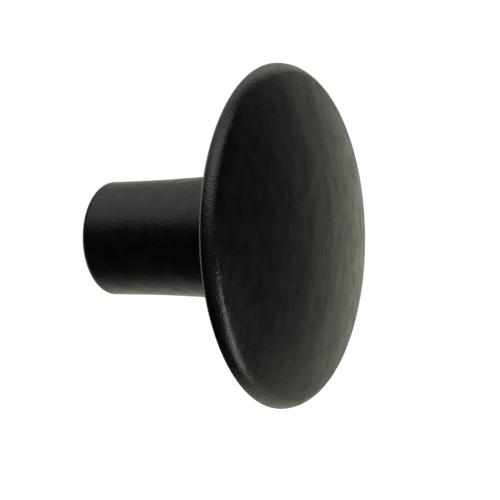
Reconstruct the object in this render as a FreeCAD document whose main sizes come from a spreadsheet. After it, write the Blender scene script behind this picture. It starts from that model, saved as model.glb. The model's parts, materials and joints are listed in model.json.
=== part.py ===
import FreeCAD, Part

import math
import os

import Sketcher

# Cabinet knob in one die-cast piece: a domed disc with a rolled shoulder, on a slim stem that
# swells towards it and has a tapped blind hole in its flat end.
# Frame: +Z is up and the knob points along -Y, away from the door or drawer front.
# The origin is the centre of the flat end that seats on the front. Lengths are in millimetres.

document = FreeCAD.newDocument("cabinet_knob")

# Driving sizes
sizes = document.addObject("Spreadsheet::Sheet", "Sizes")
driving_sizes = {
    "disc_diameter": 35,
    "projection": 25,
    "dome_radius": 52.5,
    "shoulder_radius": 1.5,
    "rim_edge_chamfer": 0.15,
    "underside_angle": 8,
    "stem_diameter": 12,
    "stem_straight_length": 2,
    "neck_flare_radius": 180,
    "neck_fillet_radius": 3,
    "base_edge_chamfer": 0.5,
    "thread_diameter": 4,
    "thread_depth": 12,
    "thread_mouth_diameter": 4.8,
    "countersink_angle": 90,
    "drill_point_angle": 118,
}
for row, (name, value) in enumerate(driving_sizes.items(), start=1):
    sizes.set(f"A{row}", name)
    sizes.set(f"B{row}", str(value))
    sizes.setAlias(f"B{row}", name)
document.recompute()


def origin_plane(body, role):
    """One of a body's own origin planes."""
    return next(plane for plane in body.Origin.OriginFeatures if plane.Role == role)


def add_sketch(body, name, role):
    """A sketch on one of the body's origin planes."""
    sketch = body.newObject("Sketcher::SketchObject", name)
    sketch.AttachmentSupport = [(origin_plane(body, role), "")]
    sketch.MapMode = "FlatFace"
    return sketch


def size_constraint(sketch, name, expression, *constraint):
    """A named dimension of the sketch, tied to the sheet."""
    index = sketch.addConstraint(Sketcher.Constraint(*constraint))
    sketch.renameConstraint(index, name)
    sketch.setExpression(f"Constraints.{name}", expression)


def arc(centre, radius, start, end):
    """An arc that runs anticlockwise between two angles in radians."""
    normal = FreeCAD.Vector(0, 0, 1)
    return Part.ArcOfCircle(Part.Circle(centre, normal, radius), start, end)


def toward(angle):
    """The unit vector at an angle in radians."""
    return FreeCAD.Vector(math.cos(angle), math.sin(angle), 0)


# Half section of the knob: X is the distance from the axis, and -Y is the distance from the seat.
# The arcs start at their tangent points, and the constraints below then hold them there.
knob = document.addObject("PartDesign::Body", "knob")
profile = add_sketch(knob, "half_section", "XY_Plane")

disc_radius = sizes.disc_diameter / 2
stem_radius = sizes.stem_diameter / 2
quarter_turn = math.pi / 2
half_turn = math.pi
full_turn = 2 * math.pi
seat_centre = FreeCAD.Vector(0, 0, 0)
crown = FreeCAD.Vector(0, -sizes.projection, 0)

# The dome is a shallow spherical cap, and the shoulder rolls it over to the widest ring.
dome_centre = crown + FreeCAD.Vector(0, sizes.dome_radius, 0)
shoulder_reach = sizes.dome_radius - sizes.shoulder_radius
shoulder_offset = disc_radius - sizes.shoulder_radius
dome_end = math.asin(shoulder_offset / shoulder_reach) - quarter_turn
shoulder_centre = dome_centre + toward(dome_end) * shoulder_reach
widest_point = shoulder_centre + FreeCAD.Vector(sizes.shoulder_radius, 0, 0)

# A broken edge turns from the widest ring to the underside, which falls away towards the neck.
underside_outer = widest_point + FreeCAD.Vector(
    -sizes.rim_edge_chamfer, sizes.rim_edge_chamfer, 0
)
underside_normal = quarter_turn - math.radians(sizes.underside_angle)
inwards = toward(underside_normal + quarter_turn)

# The stem swells along a long arc, and a fillet joins it to the underside.
flare_start = FreeCAD.Vector(stem_radius, -sizes.stem_straight_length, 0)
flare_centre = flare_start + FreeCAD.Vector(sizes.neck_flare_radius, 0, 0)
fillet_line = underside_outer + toward(underside_normal) * sizes.neck_fillet_radius
to_flare = flare_centre - fillet_line
along = to_flare.dot(inwards)
fillet_reach = sizes.neck_flare_radius - sizes.neck_fillet_radius
across_squared = to_flare.dot(to_flare) - along**2
fillet_centre = fillet_line + inwards * (along + math.sqrt(fillet_reach**2 - across_squared))
underside_inner = fillet_centre - toward(underside_normal) * sizes.neck_fillet_radius
to_fillet = fillet_centre - flare_centre
flare_end = math.atan2(to_fillet.y, to_fillet.x) % full_turn
fillet_end = underside_normal + half_turn

# The edge of the flat end is broken too.
stem_end = FreeCAD.Vector(stem_radius, -sizes.base_edge_chamfer, 0)
seat_edge = FreeCAD.Vector(stem_radius - sizes.base_edge_chamfer, 0, 0)

axis_line = profile.addGeometry(Part.LineSegment(seat_centre, crown))
dome = profile.addGeometry(arc(dome_centre, sizes.dome_radius, -quarter_turn, dome_end))
shoulder = profile.addGeometry(arc(shoulder_centre, sizes.shoulder_radius, dome_end, 0))
rim_edge = profile.addGeometry(Part.LineSegment(widest_point, underside_outer))
underside = profile.addGeometry(Part.LineSegment(underside_inner, underside_outer))
neck_fillet = profile.addGeometry(
    arc(fillet_centre, sizes.neck_fillet_radius, flare_end, fillet_end)
)
neck_flare = profile.addGeometry(
    arc(flare_centre, sizes.neck_flare_radius, half_turn, flare_end)
)
stem = profile.addGeometry(Part.LineSegment(flare_start, stem_end))
base_edge = profile.addGeometry(Part.LineSegment(stem_end, seat_edge))
seat = profile.addGeometry(Part.LineSegment(seat_edge, seat_centre))

# Numbers by which a sketch names its own Y axis and origin, and the points of a line or an arc
SKETCH_Y_AXIS, SKETCH_ORIGIN = range(-2, 0)
START, END, CENTRE = range(1, 4)

profile.addConstraint(
    [
        Sketcher.Constraint("Coincident", axis_line, START, SKETCH_ORIGIN, START),
        Sketcher.Constraint("Coincident", seat, END, SKETCH_ORIGIN, START),
        Sketcher.Constraint("Vertical", axis_line),
        Sketcher.Constraint("Horizontal", seat),
        Sketcher.Constraint("Coincident", dome, START, axis_line, END),
        Sketcher.Constraint("PointOnObject", dome, CENTRE, SKETCH_Y_AXIS),
        Sketcher.Constraint("Tangent", dome, END, shoulder, START),
        Sketcher.Constraint("Horizontal", shoulder, CENTRE, shoulder, END),
        Sketcher.Constraint("Coincident", shoulder, END, rim_edge, START),
        Sketcher.Constraint("Coincident", rim_edge, END, underside, END),
        Sketcher.Constraint("Tangent", underside, START, neck_fillet, END),
        Sketcher.Constraint("Tangent", neck_fillet, START, neck_flare, END),
        Sketcher.Constraint("Tangent", neck_flare, START, stem, START),
        Sketcher.Constraint("Vertical", stem),
        Sketcher.Constraint("Coincident", stem, END, base_edge, START),
        Sketcher.Constraint("Coincident", base_edge, END, seat, START),
    ]
)
size_constraint(
    profile, "projection", "Sizes.projection",
    "DistanceY", axis_line, END, axis_line, START, sizes.projection,
)
size_constraint(
    profile, "disc_radius", "Sizes.disc_diameter / 2",
    "DistanceX", SKETCH_ORIGIN, START, shoulder, END, disc_radius,
)
size_constraint(
    profile, "stem_radius", "Sizes.stem_diameter / 2",
    "DistanceX", SKETCH_ORIGIN, START, stem, START, stem_radius,
)
size_constraint(
    profile, "stem_straight_length", "Sizes.stem_straight_length",
    "DistanceY", stem, START, SKETCH_ORIGIN, START, sizes.stem_straight_length,
)
size_constraint(
    profile, "underside_angle", "-Sizes.underside_angle * 1 deg",
    "Angle", underside, -math.radians(sizes.underside_angle),
)
for name, geometry in {
    "dome_radius": dome,
    "shoulder_radius": shoulder,
    "neck_fillet_radius": neck_fillet,
    "neck_flare_radius": neck_flare,
}.items():
    radius = sizes.get(name)
    size_constraint(profile, name, f"Sizes.{name}", "Radius", geometry, radius)
for name, edge in {"rim_edge_chamfer": rim_edge, "base_edge_chamfer": base_edge}.items():
    width = sizes.get(name)
    size_constraint(
        profile, f"{name}_across", f"Sizes.{name}",
        "DistanceX", edge, END, edge, START, width,
    )
    size_constraint(
        profile, f"{name}_along", f"Sizes.{name}",
        "DistanceY", edge, START, edge, END, width,
    )

turned = knob.newObject("PartDesign::Revolution", "turned")
turned.Profile = profile
turned.ReferenceAxis = (profile, ["V_Axis"])
turned.Angle = math.degrees(full_turn)
document.recompute()
solid_volume = turned.Shape.Volume

# Blind hole for the machine screw, up the middle of the stem from the flat end. Its wall is at
# the thread's major diameter, its mouth is countersunk, and a drill point closes it.
hole_place = add_sketch(knob, "hole_place", "XZ_Plane")
hole_circle = hole_place.addGeometry(
    Part.Circle(seat_centre, FreeCAD.Vector(0, 0, 1), sizes.thread_diameter / 2)
)
hole_place.addConstraint(
    Sketcher.Constraint("Coincident", hole_circle, CENTRE, SKETCH_ORIGIN, START)
)
size_constraint(
    hole_place, "thread_diameter", "Sizes.thread_diameter",
    "Diameter", hole_circle, sizes.thread_diameter,
)
document.recompute()

screw_hole = knob.newObject("PartDesign::Hole", "screw_hole")
screw_hole.Profile = hole_place
document.recompute()
screw_hole.Reversed = True
screw_hole.DepthType = "Dimension"
screw_hole.DrillPoint = "Angled"
screw_hole.HoleCutType = "Countersink"
screw_hole.setExpression("Diameter", "Sizes.thread_diameter")
screw_hole.setExpression("Depth", "Sizes.thread_depth")
screw_hole.setExpression("HoleCutDiameter", "Sizes.thread_mouth_diameter")
screw_hole.setExpression("HoleCutCountersinkAngle", "Sizes.countersink_angle")
screw_hole.setExpression("DrillPointAngle", "Sizes.drill_point_angle")
document.recompute()

# Each feature has to be sound, the sketches fully fixed, and the hole has to take metal away.
for feature in document.Objects:
    if "Invalid" in feature.State or "Error" in feature.State:
        raise RuntimeError(f"{feature.Name} failed: {feature.State}")
for sketch in (profile, hole_place):
    if not sketch.FullyConstrained:
        raise RuntimeError(f"{sketch.Name} is not fully constrained")
hole_volume = solid_volume - knob.Shape.Volume
straight_hole_volume = math.pi * (sizes.thread_diameter / 2) ** 2 * sizes.thread_depth
if hole_volume < straight_hole_volume:
    raise RuntimeError("the screw hole missed the stem")
if knob.Shape.isNull() or not knob.Shape.isValid() or len(knob.Shape.Solids) != 1:
    raise RuntimeError("the knob is not one valid solid")

os.makedirs("parts", exist_ok=True)
knob.Label = "knob"
knob.Shape.exportStep(f"parts/{knob.Label}.step")
print("knob volume", round(knob.Shape.Volume, 1), "mm3, hole", round(hole_volume, 1), "mm3")
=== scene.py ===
import json
import math

import bpy
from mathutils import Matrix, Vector


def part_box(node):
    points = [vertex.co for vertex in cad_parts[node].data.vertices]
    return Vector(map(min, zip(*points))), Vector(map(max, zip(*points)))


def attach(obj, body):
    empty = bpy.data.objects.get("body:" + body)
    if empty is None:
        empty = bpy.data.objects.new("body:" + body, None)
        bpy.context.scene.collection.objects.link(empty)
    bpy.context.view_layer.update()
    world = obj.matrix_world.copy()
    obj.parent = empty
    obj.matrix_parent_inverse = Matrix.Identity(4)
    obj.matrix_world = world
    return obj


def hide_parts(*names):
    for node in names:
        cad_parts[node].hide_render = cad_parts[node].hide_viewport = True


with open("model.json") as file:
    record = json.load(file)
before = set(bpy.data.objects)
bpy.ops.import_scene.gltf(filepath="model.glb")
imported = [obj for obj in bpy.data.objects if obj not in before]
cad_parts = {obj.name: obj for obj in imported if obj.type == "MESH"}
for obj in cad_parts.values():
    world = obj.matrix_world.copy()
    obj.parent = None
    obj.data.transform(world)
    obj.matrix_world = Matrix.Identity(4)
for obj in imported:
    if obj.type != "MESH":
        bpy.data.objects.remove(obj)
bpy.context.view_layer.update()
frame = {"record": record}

# Domed cabinet knob, die cast in zinc and powder coated matt black, held from behind by a machine
# screw. Metres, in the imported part's frame: +Z is up, the knob points along -Y, and the centre of
# the flat end that seats on the door or drawer front is the origin.
MM = 0.001

# Knob
# The whole knob is one zinc die casting: a domed disc with a rolled shoulder, on a slim stem that
# swells towards it. The screw hole is drilled and countersunk in the flat end after coating.
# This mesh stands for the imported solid, and has the coat's small round edges in place of the
# solid's two narrow chamfers.
node_low, node_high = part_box("knob")
disc_radius = node_high.x
projection = -node_low.y
dome_radius = 52.5 * MM
shoulder_radius = 1.5 * MM
rim_edge_radius = 0.2 * MM
underside_slope = math.radians(8)
stem_radius = 6 * MM
stem_straight_length = 2 * MM
flare_radius = 180 * MM
neck_fillet_radius = 3 * MM
base_edge_radius = 0.8 * MM

screw_mount = next(m for m in frame["record"]["mounts"] if m["name"] == "screw_hole")
hole_radius = screw_mount["dims"]["r_mm"] * MM
hole_start = -screw_mount["pos_m"][1]
hole_depth = hole_start + screw_mount["dims"]["length_mm"] * MM
hole_mouth_radius = hole_radius + hole_start
drill_point_angle = math.radians(118)
drill_tip = -hole_depth - hole_radius / math.tan(drill_point_angle / 2)

TURN_STEPS = 192
ARC_STEP = math.radians(8)
DOME_STEP = math.radians(1)
EDGE_SUPPORT = 0.15 * MM


def toward(angle):
    """The unit vector at an angle in the half section: X out from the axis, Y along it."""
    return Vector((math.cos(angle), math.sin(angle), 0))


def arc(centre, radius, start, end, step=ARC_STEP):
    """The points of an arc between two angles."""
    count = math.ceil(abs(end - start) / step)
    return [centre + toward(start + (end - start) * i / count) * radius for i in range(count + 1)]


def flat(start, end):
    """The points of a straight run, with one more close to each end to keep its shading flat."""
    along = (end - start).normalized() * EDGE_SUPPORT
    return [start, start + along, end - along, end]


# The dome's cap and its shoulder
quarter_turn = math.pi / 2
dome_centre = Vector((0, dome_radius - projection, 0))
shoulder_reach = dome_radius - shoulder_radius
dome_end = math.asin((disc_radius - shoulder_radius) / shoulder_reach) - quarter_turn
shoulder_centre = dome_centre + toward(dome_end) * shoulder_reach

# The disc's back edge and underside
rim_edge_centre = shoulder_centre + Vector((shoulder_radius - rim_edge_radius, 0, 0))
underside_normal = quarter_turn - underside_slope
underside_outer = rim_edge_centre + toward(underside_normal) * rim_edge_radius
inwards = toward(underside_normal + quarter_turn)

# The stem's flare, and the fillet between it and the underside
flare_centre = Vector((stem_radius + flare_radius, -stem_straight_length, 0))
fillet_line = underside_outer + toward(underside_normal) * neck_fillet_radius
to_flare = flare_centre - fillet_line
along = to_flare.dot(inwards)
across_squared = to_flare.dot(to_flare) - along**2
fillet_reach = flare_radius - neck_fillet_radius
fillet_centre = fillet_line + inwards * (along + math.sqrt(fillet_reach**2 - across_squared))
underside_inner = fillet_centre - toward(underside_normal) * neck_fillet_radius
to_fillet = fillet_centre - flare_centre
flare_end = math.atan2(to_fillet.y, to_fillet.x) % math.tau
base_edge_centre = Vector((stem_radius - base_edge_radius, -base_edge_radius, 0))

half_section = (
    arc(dome_centre, dome_radius, -quarter_turn, dome_end, DOME_STEP)
    + arc(shoulder_centre, shoulder_radius, dome_end, 0)
    + arc(rim_edge_centre, rim_edge_radius, 0, underside_normal)
    + flat(underside_outer, underside_inner)
    + arc(fillet_centre, neck_fillet_radius, underside_normal + math.pi, flare_end)
    + arc(flare_centre, flare_radius, flare_end, math.pi, DOME_STEP)
    + flat(
        Vector((stem_radius, -stem_straight_length, 0)),
        base_edge_centre + toward(0) * base_edge_radius,
    )
    + arc(base_edge_centre, base_edge_radius, 0, quarter_turn)
    + flat(Vector((base_edge_centre.x, 0, 0)), Vector((hole_mouth_radius, 0, 0)))
    + flat(Vector((hole_radius, -hole_start, 0)), Vector((hole_radius, -hole_depth, 0)))
    + [Vector((0, drill_tip, 0))]
)


JOIN_DISTANCE = 0.001 * MM


def start_piece(name):
    """Adds a plane, in edit mode and merged to one point at the origin, and selects only that."""
    bpy.ops.object.select_all(action="DESELECT")
    bpy.ops.mesh.primitive_plane_add(size=MM, location=(0, 0, 0), enter_editmode=True)
    piece = bpy.context.active_object
    piece.name = name
    piece.data.name = name
    bpy.ops.mesh.merge(type="CENTER")
    return piece


def draw_outline(points):
    """Moves the point to the outline's start, and extrudes it along the outline."""
    bpy.ops.transform.translate(value=points[0])
    for start, end in zip(points, points[1:]):
        if (end - start).length > JOIN_DISTANCE:
            bpy.ops.mesh.extrude_region_move(TRANSFORM_OT_translate={"value": end - start})


knob = start_piece("knob_casting")
draw_outline(half_section)
bpy.ops.mesh.select_all(action="SELECT")
bpy.ops.mesh.spin(steps=TURN_STEPS, angle=math.tau, center=(0, 0, 0), axis=(0, 1, 0))
bpy.ops.mesh.select_all(action="SELECT")
bpy.ops.mesh.remove_doubles(threshold=JOIN_DISTANCE)
bpy.ops.mesh.normals_make_consistent(inside=False)
bpy.ops.object.mode_set(mode="OBJECT")
SHARP_ANGLE = math.radians(30)
bpy.ops.object.shade_smooth_by_angle(angle=SHARP_ANGLE)

# Powder coat
# The casting is coated matt black all over before the hole is cut. The coat lies in slow waves and
# a faint orange peel, under a fine grain that is weakest on the domed face and strongest on its
# shoulder. A fine grey line is painted along the disc's sharp back edge as a painted highlight, a
# glint.
COAT_BLACK = (0.002, 0.0026, 0.0028, 1)
COAT_WARM_BLACK = (0.0035, 0.0036, 0.0032, 1)
COAT_ROUGHNESS = (0.28, 0.37)
COLOUR_PATCHES = (0.35, 0.65)
ROUGHNESS_PATCHES = (0.3, 0.7)
PATCH_SIZE = 1.5 * MM
PATCH_STRETCH = 1.25
WAVE_SIZE = 3.5 * MM
WAVE_HEIGHT = 0.1 * MM
PEEL_SIZE = 1 * MM
PEEL_HEIGHT = 0.02 * MM
GRAIN_SIZE = 0.24 * MM
GRAIN_HEIGHT = 0.04 * MM
DOME_GRAIN = 0.45
RIM_GRAIN = 1.3
# Painted highlight: the grey of the fine glint line painted along the disc's back edge, and the
# width of its soft sides.
PAINTED_GLINT_GREY = (0.3, 0.3, 0.28, 1)
PAINTED_GLINT_BLEND = 0.03 * MM

coat = bpy.data.materials.new("matt_black_powder_coat")
coat.use_nodes = True
nodes, links = coat.node_tree.nodes, coat.node_tree.links
coat_surface = nodes["Principled BSDF"]
coat_place = nodes.new("ShaderNodeTexCoord").outputs["Object"]


def coat_noise(size, detail, place=coat_place):
    """A noise over the coat whose blobs are about that size."""
    noise = nodes.new("ShaderNodeTexNoise")
    noise.inputs["Scale"].default_value = 1 / size
    noise.inputs["Detail"].default_value = detail
    links.new(place, noise.inputs["Vector"])
    return noise.outputs["Fac"]


def spread(value, ends, results):
    """A value that lies between two ends, spread smoothly over two results."""
    fade = nodes.new("ShaderNodeMapRange")
    fade.interpolation_type = "SMOOTHSTEP"
    fade.inputs["From Min"].default_value, fade.inputs["From Max"].default_value = ends
    fade.inputs["To Min"].default_value, fade.inputs["To Max"].default_value = results
    links.new(value, fade.inputs["Value"])
    return fade.outputs["Result"]


def blend(factor, start, end):
    """A colour that goes from start to end; either may be a colour or another node's output."""
    mix = nodes.new("ShaderNodeMix")
    mix.data_type = "RGBA"
    links.new(factor, mix.inputs[0])
    for socket, colour in zip(mix.inputs[6:8], (start, end)):
        if isinstance(colour, tuple):
            socket.default_value = colour
        else:
            links.new(colour, socket)
    return mix.outputs[2]


def times(value, factor):
    """One value times another."""
    product = nodes.new("ShaderNodeMath")
    product.operation = "MULTIPLY"
    links.new(value, product.inputs[0])
    links.new(factor, product.inputs[1])
    return product.outputs["Value"]


def raised(height, distance, over=None):
    """A bump of that height, over another bump's normal if one is given."""
    bump = nodes.new("ShaderNodeBump")
    bump.inputs["Distance"].default_value = distance
    links.new(height, bump.inputs["Height"])
    if over:
        links.new(over, bump.inputs["Normal"])
    return bump.outputs["Normal"]


upright = nodes.new("ShaderNodeMapping")
upright.inputs["Scale"].default_value = (1, 1, 1 / PATCH_STRETCH)
links.new(coat_place, upright.inputs["Vector"])
patches = coat_noise(PATCH_SIZE, 3, upright.outputs["Vector"])
black = blend(spread(patches, COLOUR_PATCHES, (0, 1)), COAT_BLACK, COAT_WARM_BLACK)

# The painted highlight, a fine grey line in the coat's colour, follows the rounding between the
# disc's widest ring and its underside.
across = nodes.new("ShaderNodeVectorMath")
across.operation = "MULTIPLY"
across.inputs[1].default_value = (1, 0, 1)
links.new(coat_place, across.inputs[0])
reach = nodes.new("ShaderNodeVectorMath")
reach.operation = "LENGTH"
links.new(across.outputs["Vector"], reach.inputs[0])
along_axis = nodes.new("ShaderNodeSeparateXYZ")
links.new(coat_place, along_axis.inputs["Vector"])
edge_back, edge_inner = rim_edge_centre.y, disc_radius - rim_edge_radius
glint_behind_rim_ends = (edge_back - PAINTED_GLINT_BLEND, edge_back + PAINTED_GLINT_BLEND)
glint_behind_rim = spread(along_axis.outputs["Y"], glint_behind_rim_ends, (0, 1))
glint_near_rim = spread(reach.outputs["Value"], (edge_inner, edge_inner + PAINTED_GLINT_BLEND), (0, 1))
coat_colour = blend(times(glint_behind_rim, glint_near_rim), black, PAINTED_GLINT_GREY)
links.new(coat_colour, coat_surface.inputs["Base Color"])
roughness = spread(patches, ROUGHNESS_PATCHES, COAT_ROUGHNESS)
links.new(roughness, coat_surface.inputs["Roughness"])

# The waves and the peel lie under the grain.
waves = raised(coat_noise(WAVE_SIZE, 1, upright.outputs["Vector"]), WAVE_HEIGHT)
peel = raised(coat_noise(PEEL_SIZE, 1, upright.outputs["Vector"]), PEEL_HEIGHT, waves)
dome_back = shoulder_centre.y - shoulder_radius / 2
behind_dome_ends = (dome_back - shoulder_radius, dome_back)
behind_dome = spread(along_axis.outputs["Y"], behind_dome_ends, (DOME_GRAIN, 1))
on_rim = spread(reach.outputs["Value"], (shoulder_centre.x, disc_radius), (1, RIM_GRAIN))
grain_share = times(behind_dome, on_rim)
grain = raised(times(coat_noise(GRAIN_SIZE, 2), grain_share), GRAIN_HEIGHT, peel)
links.new(grain, coat_surface.inputs["Normal"])
knob.data.materials.append(coat)
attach(knob, "root")
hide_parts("knob")

# Bare zinc
# The drill, countersink and tap leave bright bare zinc with fine rings round the hole.
ZINC = (0.55, 0.56, 0.57, 1)
ZINC_ROUGHNESS = (0.22, 0.38)
RING_PITCH = 0.377 * MM
RING_WOBBLE = 1.5
WAVE_RADIANS = 20
SEAT_FACING = 0.99

zinc = bpy.data.materials.new("bare_cut_zinc")
zinc.use_nodes = True
nodes, links = zinc.node_tree.nodes, zinc.node_tree.links
zinc_surface = nodes["Principled BSDF"]
zinc_surface.inputs["Base Color"].default_value = ZINC
zinc_surface.inputs["Metallic"].default_value = 1
zinc_place = nodes.new("ShaderNodeTexCoord").outputs["Object"]
rings = nodes.new("ShaderNodeTexWave")
rings.bands_direction = "Y"
# A wave texture turns through WAVE_RADIANS in each unit of its scaled input.
rings.inputs["Scale"].default_value = math.tau / (RING_PITCH * WAVE_RADIANS)
rings.inputs["Distortion"].default_value = RING_WOBBLE
links.new(zinc_place, rings.inputs["Vector"])
ring_shine = nodes.new("ShaderNodeMapRange")
for end, ring_roughness in zip(("To Min", "To Max"), ZINC_ROUGHNESS):
    ring_shine.inputs[end].default_value = ring_roughness
links.new(rings.outputs["Fac"], ring_shine.inputs["Value"])
links.new(ring_shine.outputs["Result"], zinc_surface.inputs["Roughness"])
knob.data.materials.append(zinc)
for face in knob.data.polygons:
    from_axis = math.hypot(face.center.x, face.center.z)
    in_hole = from_axis < hole_mouth_radius and face.center.y > drill_tip
    on_seat = face.normal.y > SEAT_FACING
    if in_hole and not on_seat:
        face.material_index = 1

# Screw thread
# An M4 thread, 0.7 mm pitch, tapped in the stem. Its ridge runs round the hole's wall from the
# countersink to the end of the full thread, and fades out at both ends.
THREAD_PITCH = 0.7 * MM
CREST_RADIUS = 1.62 * MM
CREST_WIDTH = THREAD_PITCH / 4
ROOT_WIDTH = THREAD_PITCH * 7 / 8
ROOT_SINK = 0.02 * MM
THREAD_TURNS = 15
THREAD_STEPS = 48
FADE_STEPS = 26
FADE_END = 0.05
THREAD_START = -0.45 * MM - ROOT_WIDTH / 2

thread = start_piece("screw_thread")
root_radius = hole_radius + ROOT_SINK
thread_end = THREAD_START - THREAD_TURNS * THREAD_PITCH
ridge = [
    Vector((root_radius, thread_end - ROOT_WIDTH / 2, 0)),
    Vector((CREST_RADIUS, thread_end - CREST_WIDTH / 2, 0)),
    Vector((CREST_RADIUS, thread_end + CREST_WIDTH / 2, 0)),
    Vector((root_radius, thread_end + ROOT_WIDTH / 2, 0)),
]
draw_outline(ridge)
bpy.ops.mesh.select_all(action="SELECT")
bpy.ops.mesh.edge_face_add()
bpy.ops.mesh.delete(type="ONLY_FACE")
bpy.ops.object.mode_set(mode="OBJECT")
helix = thread.modifiers.new("helix", "SCREW")
helix.axis = "Y"
helix.screw_offset = THREAD_PITCH
helix.iterations = THREAD_TURNS
helix.steps = helix.render_steps = THREAD_STEPS
bpy.ops.object.modifier_apply(modifier="helix")
last_step = len(thread.data.vertices) // len(ridge) - 1
for index, vertex in enumerate(thread.data.vertices):
    step = index // len(ridge)
    fade = min(1, step / FADE_STEPS, (last_step - step) / FADE_STEPS)
    radius = math.hypot(vertex.co.x, vertex.co.z)
    if radius < hole_radius:
        faded = root_radius + (radius - root_radius) * max(fade, FADE_END)
        vertex.co.x *= faded / radius
        vertex.co.z *= faded / radius
bpy.ops.object.mode_set(mode="EDIT")
bpy.ops.mesh.select_all(action="SELECT")
bpy.ops.mesh.fill_holes(sides=len(ridge))
bpy.ops.mesh.normals_make_consistent(inside=False)
bpy.ops.object.mode_set(mode="OBJECT")
bpy.ops.object.shade_smooth_by_angle(angle=SHARP_ANGLE)
thread.data.materials.append(zinc)
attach(thread, "root")

# Studio
# The room is warm white on the knob's far side, with a white card low down, and falls to grey and
# then to dark on the near side, with a dim card by the camera. That gives the black coat its bright
# far limb and its deep shade. Camera and transmission rays see plain white all round, and glossy
# rays see the room's white at its full strength.
FAR_SIDE = Vector((0.86, 0.46, -0.21)).normalized()
FAR_SIDE_EDGES = (0.245, 1.07)
NEAR_SIDE_EDGES = (-0.16, 0.04)
LOW_CARD = Vector((0.56, -0.22, -0.8)).normalized()
LOW_CARD_EDGES = (0.74, 0.98)
CAMERA_CARD = Vector((-0.75, -0.63, -0.17)).normalized()
CAMERA_CARD_EDGES = (0.8, 0.98)
CAMERA_CARD_LEVEL = 0.11
ROOM_DARK = (0.013, 0.013, 0.013, 1)
ROOM_GREY = (0.046, 0.055, 0.058, 1)
ROOM_WHITE = (0.93, 0.92, 0.755, 1)
ROOM_LEVEL = 0.7
WHITE = (1, 1, 1, 1)
BLACK = (0, 0, 0, 1)

room_colour = bpy.data.node_groups.new("room_colour", "ShaderNodeTree")
room_colour.interface.new_socket("Direction", in_out="INPUT", socket_type="NodeSocketVector")
room_colour.interface.new_socket("Colour", in_out="OUTPUT", socket_type="NodeSocketColor")
nodes, links = room_colour.nodes, room_colour.links
direction = nodes.new("NodeGroupInput").outputs["Direction"]


def either(first, second):
    """The greater of two values."""
    greater = nodes.new("ShaderNodeMath")
    greater.operation = "MAXIMUM"
    links.new(first, greater.inputs[0])
    links.new(second, greater.inputs[1])
    return greater.outputs["Value"]


def closeness(centre):
    """1 for the direction of a centre, 0 at a right angle to it, and -1 for the opposite one."""
    cosine = nodes.new("ShaderNodeVectorMath")
    cosine.operation = "DOT_PRODUCT"
    cosine.inputs[1].default_value = centre
    links.new(direction, cosine.inputs[0])
    return cosine.outputs["Value"]


to_far_side = closeness(FAR_SIDE)
near_side = blend(spread(to_far_side, NEAR_SIDE_EDGES, (0, 1)), ROOM_DARK, ROOM_GREY)
far_side = spread(to_far_side, FAR_SIDE_EDGES, (0, 1))
low_card = spread(closeness(LOW_CARD), LOW_CARD_EDGES, (0, 1))
camera_card = spread(closeness(CAMERA_CARD), CAMERA_CARD_EDGES, (0, CAMERA_CARD_LEVEL))
room = blend(either(either(far_side, low_card), camera_card), near_side, ROOM_WHITE)
links.new(room, nodes.new("NodeGroupOutput").inputs["Colour"])


def light_path():
    """Two values by the kind of ray: 1 for the rays that see plain white all round, camera and
    transmission rays; and the strength, 1 for those and glossy rays, and less for the others."""
    ray = nodes.new("ShaderNodeLightPath").outputs
    plain_white = either(ray["Is Camera Ray"], ray["Is Transmission Ray"])
    seen = either(plain_white, ray["Is Glossy Ray"])
    return plain_white, spread(seen, (0, 1), (ROOM_LEVEL, 1))


def room_towards(direction):
    """The room's colour in a direction from the knob."""
    group = nodes.new("ShaderNodeGroup")
    group.node_tree = room_colour
    links.new(direction, group.inputs["Direction"])
    return group.outputs["Colour"]


world = bpy.data.worlds.new("studio")
bpy.context.scene.world = world
world.use_nodes = True
nodes, links = world.node_tree.nodes, world.node_tree.links
outwards = nodes.new("ShaderNodeTexCoord").outputs["Generated"]
plain_white, strength = light_path()
links.new(blend(plain_white, room_towards(outwards), WHITE), nodes["Background"].inputs["Color"])
links.new(strength, nodes["Background"].inputs["Strength"])

# Floor: plain and pale, well below the knob, which hangs on its door. The knob sees it as the
# room's lower half, and the camera sees it fade to the white background away from the knob.
FLOOR_DROP = 60 * MM
FLOOR_SIZE = 6
FLOOR_COLOUR = (0.8, 0.8, 0.8, 1)
FLOOR_LIFT = (0.55, 0.55, 0.55, 1)
FADE_OUT = (0.05, 0.21)
bpy.ops.object.select_all(action="DESELECT")
bpy.ops.mesh.primitive_plane_add(size=FLOOR_SIZE, location=(0, 0, -FLOOR_DROP))
floor = bpy.context.active_object
floor.name = "floor"
pale_floor = bpy.data.materials.new("pale_floor")
pale_floor.use_nodes = True
nodes, links = pale_floor.node_tree.nodes, pale_floor.node_tree.links
floor_surface = nodes["Principled BSDF"]
floor_place = nodes.new("ShaderNodeNewGeometry").outputs["Position"]
floor_direction = nodes.new("ShaderNodeVectorMath")
floor_direction.operation = "NORMALIZE"
links.new(floor_place, floor_direction.inputs[0])
floor_distance = nodes.new("ShaderNodeVectorMath")
floor_distance.operation = "LENGTH"
links.new(floor_place, floor_distance.inputs[0])
plain_white, strength = light_path()
lift = blend(spread(floor_distance.outputs["Value"], FADE_OUT, (0, 1)), FLOOR_LIFT, WHITE)
glow = blend(plain_white, room_towards(floor_direction.outputs["Vector"]), lift)
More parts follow.
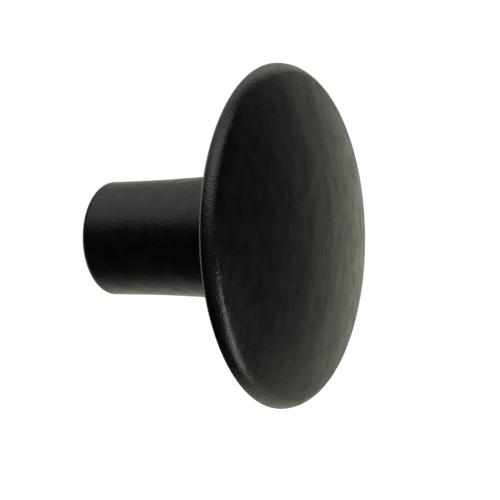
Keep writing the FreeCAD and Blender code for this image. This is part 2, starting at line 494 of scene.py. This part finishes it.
links.new(blend(plain_white, BLACK, FLOOR_COLOUR), floor_surface.inputs["Base Color"])
links.new(glow, floor_surface.inputs["Emission Color"])
links.new(strength, floor_surface.inputs["Emission Strength"])
floor_surface.inputs["Roughness"].default_value = 1
floor_surface.inputs["Specular IOR Level"].default_value = 0
floor.data.materials.append(pale_floor)

# Lamps: one high above and behind the knob for the tops of the stem and the shoulder, one high on
# the camera's side for the shoulder's upper left, and a narrow upright strip, low and close to the
# domed face, for the fine crescent on the shoulder's lower left.
LAMP_COLOUR = (1, 1, 0.93)
knob_middle = (node_low + node_high) / 2


def add_softbox(name, azimuth, elevation, distance, width, height, level):
    """A soft lamp that faces the knob. Azimuth is measured from -Y, the way the dome faces,
    towards +X, in degrees. A level of 1 is as bright as a white background."""
    lamp_data = bpy.data.lights.new(name, "AREA")
    lamp_data.shape = "RECTANGLE"
    lamp_data.size = width
    lamp_data.size_y = height
    lamp_data.energy = level * math.pi * width * height
    lamp_data.color = LAMP_COLOUR
    lamp = bpy.data.objects.new(name, lamp_data)
    bpy.context.scene.collection.objects.link(lamp)
    turn, rise = math.radians(azimuth), math.radians(elevation)
    level_way = Vector((math.sin(turn), -math.cos(turn), 0))
    back = level_way * math.cos(rise) + Vector((0, 0, math.sin(rise)))
    lamp.location = knob_middle + back * distance
    lamp.rotation_mode = "QUATERNION"
    lamp.rotation_quaternion = (-back).to_track_quat("-Z", "Y")


add_softbox("overhead", 154, 72, 0.8, 3.2, 0.6, 0.92)
add_softbox("window", 303, 46, 0.8, 0.75, 0.75, 1.9)
add_softbox("low_strip", -8, -37, 0.068, 0.01, 0.05, 8.5)

# Camera: level with the knob and about 62 degrees round from its axis
camera_data = bpy.data.cameras.new("camera")
camera_data.lens = 128.3
camera = bpy.data.objects.new("camera", camera_data)
bpy.context.scene.collection.objects.link(camera)
camera.location = (-161.3 * MM, -102.47 * MM, -2.06 * MM)
camera.rotation_euler = [math.radians(angle) for angle in (90.21, 0.40, -62.04)]
bpy.context.scene.camera = camera

bpy.context.scene.view_settings.view_transform = "Standard"
